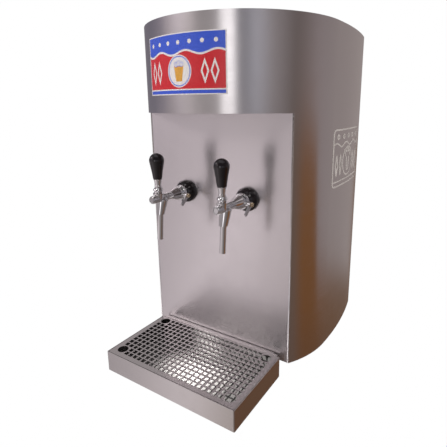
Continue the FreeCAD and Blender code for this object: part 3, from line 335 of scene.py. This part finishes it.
STEEL = (0.62, 0.60, 0.595)
FINISHES = {
    brushed: {
        "casing_brushed_steel": dict(color=STEEL, rough=0.24, grain=(2, 2, 950), aniso=0.55),
        "panel_brushed_steel": dict(
            color=(0.65, 0.62, 0.63),
            rough=0.28,
            grain=(2, 2, 900),
            aniso=0.8,
            spread=0.008,
            bump=0.002,
        ),
        # the tray's inner faces carry painted shade
        "tray_brushed_steel": dict(
            color=(0.63, 0.605, 0.60), rough=0.24, grain=(4, 700, 700), aniso=0.4, basin=True
        ),
        "grille_steel": dict(
            color=(0.50, 0.478, 0.478),
            rough=0.24,
            grain=(4, 700, 60),
            aniso=0.2,
            spread=0.015,
            bump=0.006,
        ),
        "inner_satin_steel": dict(
            color=(0.56, 0.56, 0.56), rough=0.34, grain=(60, 60, 600), aniso=0.3
        ),
        "lid_brushed_steel": dict(
            color=STEEL, rough=0.28, grain=(3, 800, 800), aniso=0.4, tangent=(0, 1, 0)
        ),
        "hinge_steel": dict(
            color=(0.58, 0.58, 0.57), rough=0.3, grain=(900, 40, 40), aniso=0.3
        ),
        "shank_steel": dict(
            color=(0.60, 0.60, 0.60), rough=0.28, grain=(30, 900, 30), aniso=0.2
        ),
    },
    polished: {
        "zinc_fastener": dict(color=(0.55, 0.55, 0.53), rough=0.28, spread=0.12),
        "tap_chrome": dict(color=(0.71, 0.705, 0.71), rough=0.05),
        "cap_satin": dict(color=(0.46, 0.455, 0.46), rough=0.14),
        "coil_steel": dict(color=(0.64, 0.64, 0.63), rough=0.22, spread=0.1),
        "union_steel": dict(color=(0.60, 0.59, 0.57), rough=0.25, spread=0.1),
        "valve_brass": dict(color=(0.72, 0.58, 0.33), rough=0.24, spread=0.14),
        "pivot_brass": dict(color=(0.62, 0.50, 0.34), rough=0.22, spread=0.1),
        "edge_polish": dict(color=(0.76, 0.74, 0.74), rough=0.26, spread=0.06),
    },
    moulded: {
        "foot_rubber": dict(color=(0.03, 0.03, 0.03), rough=0.78, grain=900, bump=0.25),
        "gasket_rubber": dict(color=(0.09, 0.09, 0.095), rough=0.7, grain=1400, bump=0.2),
        "black_gloss": dict(
            color=(0.006, 0.004, 0.005), rough=0.10, coat=1.0, grain=1500, bump=0.003, shine=0.05
        ),
        "plunger_plastic": dict(color=(0.05, 0.05, 0.055), rough=0.45),
        "lever_red": dict(color=(0.42, 0.03, 0.03), rough=0.32, coat=0.3),
        "print_pale": dict(color=(0.54, 0.51, 0.48), rough=0.6, shine=0.2),
    },
    foamed: {"insulation_foam": dict(color=(0.80, 0.74, 0.58))},
}
M = {name: make(name, **look) for make, rows in FINISHES.items() for name, look in rows.items()}
M["badge_print"] = badge_material()

for sub in frame["record"]["subparts"]:
    o = N[sub["node"]]
    o.data.materials.clear()
    o.data.materials.append(M[sub["material_slot"]])


# ---------------------------------------------------------------- mesh helpers
def piece(name, verts, faces, material, body, smooth=False):
    """New object from plain mesh data, riding on a body."""
    me = bpy.data.meshes.new(name)
    me.from_pydata([tuple(v) for v in verts], [], faces)
    me.validate()
    o = bpy.data.objects.new(name, me)
    bpy.context.scene.collection.objects.link(o)
    me.materials.append(M[material])
    for p in me.polygons:
        p.use_smooth = smooth
    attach(o, body)
    return o


def side_at(s, offset):
    """Point on the right side wall; s runs along it from where its arc faces right."""
    a = s / SIDE_R
    y = SIDE_CY + (SIDE_R + offset) * math.sin(a)
    x = SIDE_CX + (SIDE_R + offset) * math.cos(a)
    return x, y


STROKE_STEP = 0.006
STROKE_THICK = 0.00018
STROKE_BACK = 0.00005


def split(line):
    """The same line in short runs, so that it follows the curved wall."""
    out = [line[0]]
    for (s0, z0), (s1, z1) in zip(line, line[1:]):
        n = max(1, math.ceil(math.hypot(s1 - s0, z1 - z0) / STROKE_STEP))
        out += [(s0 + (s1 - s0) * i / n, z0 + (z1 - z0) * i / n) for i in range(1, n + 1)]
    return out


def ribbon(name, lines, width):
    """Thin raised strokes on the right side wall; lines are lists of (s, z)."""
    verts, faces = [], []
    for line in map(split, lines):
        base = len(verts)
        n = len(line)
        for i, (s, z) in enumerate(line):
            a = line[max(i - 1, 0)]
            b = line[min(i + 1, n - 1)]
            ds, dz = b[0] - a[0], b[1] - a[1]
            length = math.hypot(ds, dz) or 1.0
            # upright strokes are broader, as on a label read at a slant
            ns, nz = -dz / length * width, ds / length * width / 2
            for k, off in (
                (1, STROKE_BACK),
                (-1, STROKE_BACK),
                (1, STROKE_THICK),
                (-1, STROKE_THICK),
            ):
                x, y = side_at(s + k * ns, off)
                verts.append((x, y, z + k * nz))
        for i in range(n - 1):
            p, q = base + 4 * i, base + 4 * (i + 1)
            faces.append((p + 2, p + 3, q + 3, q + 2))
            faces.append((p, p + 2, q + 2, q))
            faces.append((p + 3, p + 1, q + 1, q + 3))
            faces.append((p + 1, p, q, q + 1))
        e = base + 4 * (n - 1)
        faces.append((base, base + 1, base + 3, base + 2))
        faces.append((e + 1, e, e + 2, e + 3))
    return piece(name, verts, faces, "print_pale", "cabinet")


def arc(cs, cz, rs, rz, a0, a1, n):
    """Part of an ellipse about (cs, cz), from a0 to a1 degrees in n runs."""
    out = []
    for i in range(n + 1):
        a = math.radians(a0 + (a1 - a0) * i / n)
        out.append((cs + rs * math.cos(a), cz + rz * math.sin(a)))
    return out


ROUND_SIDES = 48


def turned(name, points, centre, axis, material, body, knurl=0.0, teeth=0):
    """Turned piece; points are (radius, along); axis is 'x', 'y' or 'z'."""
    verts, faces = [], []
    c = Vector(centre)
    n = teeth * 2 if teeth else ROUND_SIDES
    for r, h in points:
        for i in range(n):
            a = 2 * math.pi * i / n
            rr = r - (knurl if teeth and i % 2 else 0.0)
            p, q = rr * math.cos(a), rr * math.sin(a)
            off = {"x": (h, p, q), "y": (q, h, p), "z": (p, q, h)}[axis]
            verts.append(c + Vector(off))
    for j in range(len(points) - 1):
        for i in range(n):
            a, b = j * n + i, j * n + (i + 1) % n
            faces.append((a, b, b + n, a + n))
    faces.append(tuple(reversed(range(n))))
    last = (len(points) - 1) * n
    faces.append(tuple(range(last, last + n)))
    return piece(name, verts, faces, material, body, smooth=not teeth)


# ---------------------------------------------------------------- trim
EDGE_X = 0.1682
EDGE_W, EDGE_RISE = 0.0030, 0.0009
EDGE_STEPS = 8
MARGIN = 0.0010


def bead(name, x, z0, z1):
    """Rounded folded edge beside the front panel."""
    verts, faces = [], []
    for z in (z0, z1):
        for i in range(EDGE_STEPS + 1):
            a = math.pi * i / EDGE_STEPS
            verts.append((x - EDGE_W / 2 * math.cos(a), PANEL_Y - EDGE_RISE * math.sin(a), z))
    n = EDGE_STEPS + 1
    for i in range(EDGE_STEPS):
        faces.append((i, i + 1, n + i + 1, n + i))
    faces.append(tuple(range(n)))
    faces.append(tuple(reversed(range(n, 2 * n))))
    faces.append((0, n, 2 * n - 1, n - 1))
    return piece(name, verts, faces, "edge_polish", "cabinet", smooth=True)


for side, x in (("left", -EDGE_X), ("right", EDGE_X)):
    bead("panel_edge_" + side, x, PANEL_LOW + MARGIN, HEADER_BOTTOM - MARGIN / 2)

# side print: the badge's motifs in outline. S0 and Z0 are its middle, along the wall
# and upwards; the other places are measured from there
PRINT_DROP = 0.0915
S0, Z0 = 0.036, HEADER_BOTTOM - PRINT_DROP
FRAME_HALF_W, FRAME_HALF_H, FRAME_CORNER_R = 0.088, 0.057, 0.010
RIPPLES, RIPPLE_RISE, RIPPLE_Z = 3, 0.004, 0.027
LINE_Z = -0.047
RING_Z, RING_R_S, RING_R_Z = -0.010, 0.034, 0.030
# the beer's head: middle, radii, first and last angle in degrees, runs
HEAD_ARCS = (
    (-0.010, 0.006, 0.0075, 0.0065, 20, 250, 14),
    (0.0, 0.009, 0.0085, 0.0075, -10, 190, 16),
    (0.010, 0.006, 0.0075, 0.0065, -70, 160, 14),
)
SPOTS_EACH_SIDE, SPOT_PITCH, SPOT_Z, SPOT_R_S, SPOT_R_Z = 2, 0.032, 0.043, 0.005, 0.004
RHOMBS_S, RHOMB_DROP = (-0.070, -0.048, 0.048, 0.070), 0.014
RHOMB_HALF_W, RHOMB_HALF_H = 0.006, 0.022
TUMBLER = ((-0.009, -0.001), (-0.006, -0.029), (0.006, -0.029), (0.009, -0.001))
STROKE_W, BOLD_STROKE_W = 0.0030, 0.0034


def frame_line():
    pts = []
    for sx, sz, a0 in ((1, 1, 0), (-1, 1, 90), (-1, -1, 180), (1, -1, 270)):
        cs = S0 + sx * (FRAME_HALF_W - FRAME_CORNER_R)
        cz = Z0 + sz * (FRAME_HALF_H - FRAME_CORNER_R)
        pts += arc(cs, cz, FRAME_CORNER_R, FRAME_CORNER_R, a0, a0 + 90, 6)
    return pts + pts[:1]


def wave_line():
    n = RIPPLES * 12
    pts = []
    for i in range(n + 1):
        rise = RIPPLE_RISE * math.sin(2 * math.pi * RIPPLES * i / n)
        pts.append((S0 - FRAME_HALF_W + 2 * FRAME_HALF_W * i / n, Z0 + RIPPLE_Z + rise))
    return pts


def diamond_line(ds):
    c, z, w, h = S0 + ds, Z0 - RHOMB_DROP, RHOMB_HALF_W, RHOMB_HALF_H
    return [(c + w, z), (c, z + h), (c - w, z), (c, z - h), (c + w, z)]


outline = [
    frame_line(),
    wave_line(),
    [(S0 - FRAME_HALF_W, Z0 + LINE_Z), (S0 + FRAME_HALF_W, Z0 + LINE_Z)],
    arc(S0, Z0 + RING_Z, RING_R_S, RING_R_Z, 0, 360, 40),
]
for ds, dz, *rest in HEAD_ARCS:
    outline.append(arc(S0 + ds, Z0 + dz, *rest))
for i in range(-SPOTS_EACH_SIDE, SPOTS_EACH_SIDE + 1):
    outline.append(arc(S0 + i * SPOT_PITCH, Z0 + SPOT_Z, SPOT_R_S, SPOT_R_Z, 0, 360, 16))
ribbon("side_print", outline, STROKE_W)
bold = [diamond_line(ds) for ds in RHOMBS_S]
bold.append([(S0 + ds, Z0 + dz) for ds, dz in TUMBLER])
ribbon("side_print_bold", bold, BOLD_STROKE_W)

# profiles of the taps' small turned trim, as (radius, along); those of the cap's face
# are (distance inside the cap's edge, along)
PIVOT_CAP = [
    (0.0036, 0.0002),
    (0.0042, 0.0006),
    (0.0042, 0.0030),
    (0.0034, 0.0038),
    (0.0012, 0.0040),
]
PIVOT_CAP_KNURL, PIVOT_CAP_TEETH = 0.0004, 18
CAP_FACE = [
    (0.0010, 0.0002),
    (0.0012, -0.0006),
    (0.0018, -0.0009),
    (0.0022, -0.0007),
    (0.0024, -0.0001),
    (0.0028, -0.0001),
]
KNOB_RING = [
    (0.0069, 0.0),
    (0.0078, 0.0002),
    (0.0080, 0.0009),
    (0.0078, 0.0016),
    (0.0069, 0.0018),
]
KNOB_RING_DROP = 0.0022

JOINTS = frame["record"]["behaviour"]["joints"]
PIVOTS = {j["name"]: Vector(j["pos_m"]) for j in JOINTS if "pos_m" in j}
cap_low, cap_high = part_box("front_caps")
cap_r = (cap_high.z - cap_low.z) / 2
cap_z = (cap_high.z + cap_low.z) / 2
for side, cap_x in (("left", cap_low.x + cap_r), ("right", cap_high.x - cap_r)):
    hub = PIVOTS["flow_lever_" + side].copy()
    hub.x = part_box("flow_lever_" + side)[1].x
    pivot_cap = turned(
        "flow_pivot_cap_" + side,
        PIVOT_CAP,
        hub,
        "x",
        "pivot_brass",
        "flow_handle_" + side,
        PIVOT_CAP_KNURL,
        PIVOT_CAP_TEETH,
    )
    ring = [(cap_r - inside, along) for inside, along in CAP_FACE]
    face = (cap_x, cap_low.y, cap_z)
    turned("cap_face_" + side, ring, face, "y", "cap_satin", "cabinet")
    neck = PIVOTS["tap_lever_" + side].copy()
    neck.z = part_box("lever_knob_" + side)[0].z - KNOB_RING_DROP
    body = "tap_handle_" + side
    turned("knob_ring_" + side, KNOB_RING, neck, "z", "edge_polish", body)


# ---------------------------------------------------------------- world
# tones around the room by heading in degrees: 0 is in front of the taps and 90 to
# their right. Heights and drops are the upward and downward share of a direction
WALLS = [
    (-180, (0.37, 0.32, 0.31)),
    (-140, (0.22, 0.20, 0.22)),
    (-95, (0.21, 0.195, 0.24)),
    (-72, (0.30, 0.27, 0.325)),
    (-57, (0.50, 0.44, 0.48)),
    (-44, (0.76, 0.68, 0.74)),
    (-33, (0.66, 0.59, 0.61)),
    (-20, (0.42, 0.385, 0.395)),
    (-8, (0.44, 0.405, 0.415)),
    (3, (0.52, 0.48, 0.50)),
    (8.5, (1.9, 1.85, 1.9)),
    (19, (2.0, 1.95, 2.0)),
    (23.5, (0.37, 0.355, 0.395)),
    (29, (0.27, 0.26, 0.30)),
    (44, (0.54, 0.535, 0.605)),
    (62, (0.375, 0.335, 0.35)),
    (88, (0.19, 0.155, 0.15)),
    (118, (0.34, 0.29, 0.297)),
    (180, (0.37, 0.32, 0.31)),
]
FLOOR = [
    (-180, (0.20, 0.12, 0.075)),
    (-110, (0.30, 0.27, 0.28)),
    (-60, (0.56, 0.50, 0.52)),
    (-46, (0.58, 0.53, 0.55)),
    (-41, (0.77, 0.70, 0.72)),
    (-36, (1.12, 1.03, 1.06)),
    (-31, (1.02, 0.93, 0.96)),
    (-26, (0.80, 0.73, 0.75)),
    (-20, (0.68, 0.61, 0.62)),
    (45, (0.25, 0.225, 0.22)),
    (70, (0.17, 0.150, 0.145)),
    (88, (0.16, 0.125, 0.11)),
    (104, (0.235, 0.100, 0.034)),
    (135, (0.215, 0.096, 0.038)),
    (180, (0.165, 0.105, 0.070)),
]
# the floor close to the table
NEAR_FLOOR = [
    (-180, (0.18, 0.11, 0.07)),
    (-110, (0.26, 0.24, 0.25)),
    (-60, (0.36, 0.33, 0.34)),
    (-49, (0.50, 0.46, 0.47)),
    (-44, (0.92, 0.84, 0.87)),
    (-41, (1.02, 0.94, 0.97)),
    (-38.5, (0.84, 0.77, 0.78)),
    (-35, (0.40, 0.35, 0.31)),
    (-25, (0.42, 0.36, 0.32)),
    (45, (0.22, 0.19, 0.18)),
    (90, (0.15, 0.10, 0.08)),
    (112, (0.155, 0.075, 0.040)),
    (180, (0.14, 0.085, 0.055)),
]
NEAR_FLOOR_DROPS = (0.46, 0.60)
UPPER_WALL, UPPER_WALL_HEIGHTS = (0.13, 0.12, 0.125, 1), (0.24, 0.44)
CEILING, CEILING_HEIGHTS = (0.70, 0.68, 0.70, 1), (0.74, 0.95)
SKIRTING = (0.37, 0.335, 0.345, 1)
SKIRTING_HEADINGS, SKIRTING_DROPS = (-80, -60, -10, 10), (0.0, 0.04, 0.10, 0.17)
WINDOW_HEADINGS = (-85, -65, -31, -20)
# headings, heights and tone of the patches on the walls; a band comes in between its
# first two numbers and goes out between its last two
PATCHES = (
    # the window's upper and lower half
    (WINDOW_HEADINGS, (0.52, 0.57, 0.72, 0.80), (0.62, 0.56, 0.57, 1)),
    (WINDOW_HEADINGS, (0.30, 0.38, 0.52, 0.57), (2.60, 2.37, 2.43, 1)),
    # the wall behind, up to the left
    ((-200, -190, -125, -95), (0.26, 0.36, 0.72, 0.80), (0.54, 0.50, 0.505, 1)),
    # a bright pane of the window
    ((-45, -42, -33, -30), (0.42, 0.44, 0.50, 0.53), (2.2, 2.15, 2.15, 1)),
    # a lamp to the right, and one high up in front
    ((35, 38, 58, 61), (0.50, 0.54, 0.70, 0.74), (2.2, 2.1, 2.05, 1)),
    ((-28, -24, -6, -2), (0.74, 0.76, 0.85, 0.87), (5.5, 5.3, 5.2, 1)),
)
# where the walls end: how far down, how much higher on the right and lower behind
FLOOR_EDGE, EDGE_RIGHT, EDGE_BEHIND = 0.06, 0.035, 0.315
RIGHT_HEADINGS, BEHIND_HEADINGS = (70, 86, 98, 122), (120, 130)
EDGE_BLUR_UP, EDGE_BLUR_DOWN = 0.02, 0.06


def turns(deg):
    """Heading in degrees as a share of a full turn that starts behind."""
    return (deg + 180) / 360


def studio():
    """Room by direction: grey walls with bright strips, brown floor to the right."""
    w = bpy.data.worlds.new("studio")
    bpy.context.scene.world = w
    w.use_nodes = True
    t = w.node_tree
    t.nodes.clear()

    def new(kind, **values):
        n = t.nodes.new(kind)
        for k, v in values.items():
            setattr(n, k, v)
        return n

    def put(socket, value):
        if isinstance(value, bpy.types.NodeSocket):
            t.links.new(value, socket)
        else:
            socket.default_value = value

    def calc(op, a, b=0.0):
        n = new("ShaderNodeMath", operation=op)
        put(n.inputs[0], a)
        put(n.inputs[1], b)
        return n.outputs[0]

    def ramp(value, stops):
        n = new("ShaderNodeValToRGB")
        put(n.inputs[0], value)
        e = n.color_ramp.elements
        e[0].position, e[1].position = 0.0, 1.0
        e[0].color, e[1].color = (*stops[0][1], 1.0), (*stops[-1][1], 1.0)
        for deg, c in stops[1:-1]:
            e.new(turns(deg)).color = (*c, 1.0)
        return n.outputs[0]

    def mix(fac, a, b):
        n = new("ShaderNodeMix", data_type="RGBA")
        put(n.inputs[0], fac)
        put(n.inputs[6], a)
        put(n.inputs[7], b)
        return n.outputs[2]

    def smooth(value, a, b):
        n = new("ShaderNodeMapRange", interpolation_type="SMOOTHSTEP")
        put(n.inputs[0], value)
        put(n.inputs[1], a)
        put(n.inputs[2], b)
        return n.outputs[0]

    co = new("ShaderNodeTexCoord").outputs["Generated"]
    s = new("ShaderNodeSeparateXYZ")
    t.links.new(co, s.inputs[0])
    x, y, z = s.outputs
    az = calc("DIVIDE", calc("ARCTAN2", x, calc("MULTIPLY", y, -1.0)), 2 * math.pi)
    turn = calc("ADD", az, 0.5)

    def band(value, a0, a1, b0, b1):
        fall = calc("SUBTRACT", 1.0, smooth(value, b0, b1))
        return calc("MULTIPLY", smooth(value, a0, a1), fall)

    def patch(headings, level, heights):
        around = band(turn, *map(turns, headings))
        return calc("MULTIPLY", around, band(level, *heights))

    walls, floor, near_floor = (ramp(turn, stops) for stops in (WALLS, FLOOR, NEAR_FLOOR))
    behind = calc("MULTIPLY", smooth(turn, *map(turns, BEHIND_HEADINGS)), EDGE_BEHIND)
    right = calc("MULTIPLY", band(turn, *map(turns, RIGHT_HEADINGS)), EDGE_RIGHT)
    edge = calc("ADD", behind, calc("SUBTRACT", FLOOR_EDGE, right))
    drop = calc("MULTIPLY", z, -1.0)
    above, below = calc("SUBTRACT", edge, EDGE_BLUR_UP), calc("ADD", edge, EDGE_BLUR_DOWN)
    room = mix(smooth(drop, above, below), walls, floor)
    room = mix(patch(SKIRTING_HEADINGS, drop, SKIRTING_DROPS), room, SKIRTING)
    room = mix(smooth(drop, *NEAR_FLOOR_DROPS), room, near_floor)
    room = mix(smooth(z, *UPPER_WALL_HEIGHTS), room, UPPER_WALL)
    room = mix(smooth(z, *CEILING_HEIGHTS), room, CEILING)
    for headings, heights, color in PATCHES:
        room = mix(patch(headings, z, heights), room, color)
    lit = new("ShaderNodeBackground")
    put(lit.inputs[0], room)
    lit.inputs[1].default_value = 1.0
    seen = new("ShaderNodeBackground")
    seen.inputs[0].default_value = (1, 1, 1, 1)
    seen.inputs[1].default_value = 1.0
    path = new("ShaderNodeLightPath")
    pick = new("ShaderNodeMixShader")
    put(pick.inputs[0], path.outputs["Is Camera Ray"])
    t.links.new(lit.outputs[0], pick.inputs[1])
    t.links.new(seen.outputs[0], pick.inputs[2])
    out = new("ShaderNodeOutputWorld")
    t.links.new(pick.outputs[0], out.inputs[0])


studio()


def hang(name, data, place, target):
    """Puts a light at a place, aimed at a target and not mirrored in the metal."""
    o = bpy.data.objects.new(name, data)
    bpy.context.scene.collection.objects.link(o)
    o.location = place
    o.rotation_mode = "QUATERNION"
    o.rotation_quaternion = (Vector(target) - Vector(place)).to_track_quat("-Z", "Y")
    o.visible_glossy = False


def lamp(name, place, target_z, size_x, size_y, power):
    d = bpy.data.lights.new(name, "AREA")
    d.shape = "RECTANGLE"
    d.size, d.size_y, d.energy = size_x, size_y, power
    hang(name, d, place, (0, 0, target_z))


lamp("key_left", (-1.6, -1.9, 1.6), 0.35, 0.9, 0.9, 26)
lamp("top_soft", (0.2, -0.6, 2.2), 0.4, 1.4, 1.0, 16)
lamp("side_soft", (1.6, 0.5, 0.9), 0.4, 0.9, 0.9, 13)

BEAM_FROM = (-0.35, -1.10, 1.25)
BEAM_BLEND, BEAM_SOURCE_R = 0.4, 0.02


def beam(name, x, before_panel, z, degrees, power):
    """Narrow light that falls through the grille into the tray."""
    d = bpy.data.lights.new(name, "SPOT")
    d.energy = power
    d.spot_size = math.radians(degrees)
    d.spot_blend = BEAM_BLEND
    d.shadow_soft_size = BEAM_SOURCE_R
    hang(name, d, BEAM_FROM, (x, PANEL_Y - before_panel, z))


beam("beam_left", -0.040, 0.092, 0.0, 3.0, 1700)
beam("beam_middle", 0.000, 0.092, 0.0, 3.0, 1400)
beam("beam_right", 0.040, 0.094, 0.0, 3.2, 1300)
beam("beam_back", -0.020, 0.009, 0.016, 2.6, 2200)
beam("beam_wide", 0.095, 0.080, 0.0, 8.0, 700)

# ---------------------------------------------------------------- camera
# pinhole solved from the photo: angles in radians, focal length, picture side and
# optical centre in pixels
YAW, PITCH, ROLL = 0.5566, 0.2259, -0.0040
FOCAL_PX, SIDE_PX = 393.195, 447.0
CENTRE_X_PX, CENTRE_Y_PX = 243.46, 196.14
SENSOR_MM = 36.0
EYE = Vector((0.4601, PANEL_Y - 0.6334, 0.5309))
level = math.cos(PITCH)
ahead = Vector((-math.sin(YAW) * level, math.cos(YAW) * level, -math.sin(PITCH)))
right = Vector((math.cos(YAW), math.sin(YAW), 0))
up = right.cross(ahead)
right_r = right * math.cos(ROLL) + up * math.sin(ROLL)
up_r = up * math.cos(ROLL) - right * math.sin(ROLL)
cam_data = bpy.data.cameras.new("view")
cam = bpy.data.objects.new("view", cam_data)
bpy.context.scene.collection.objects.link(cam)
cam_data.sensor_width = SENSOR_MM
cam_data.lens = FOCAL_PX / SIDE_PX * SENSOR_MM
cam_data.shift_x = (SIDE_PX / 2 - CENTRE_X_PX) / SIDE_PX
cam_data.shift_y = (CENTRE_Y_PX - SIDE_PX / 2) / SIDE_PX
cam_data.clip_start = 0.01
cam.matrix_world = Matrix(
    (
        (right_r.x, up_r.x, -ahead.x, EYE.x),
        (right_r.y, up_r.y, -ahead.y, EYE.y),
        (right_r.z, up_r.z, -ahead.z, EYE.z),
        (0, 0, 0, 1),
    )
)
bpy.context.scene.camera = cam

scene = bpy.context.scene
scene.view_settings.view_transform = "Standard"
scene.view_settings.look = "None"
scene.cycles.use_denoising = True
scene.cycles.denoising_input_passes = "RGB"
scene.cycles.max_bounces = 10
scene.cycles.glossy_bounces = 6
scene.cycles.sample_clamp_indirect = 1.6
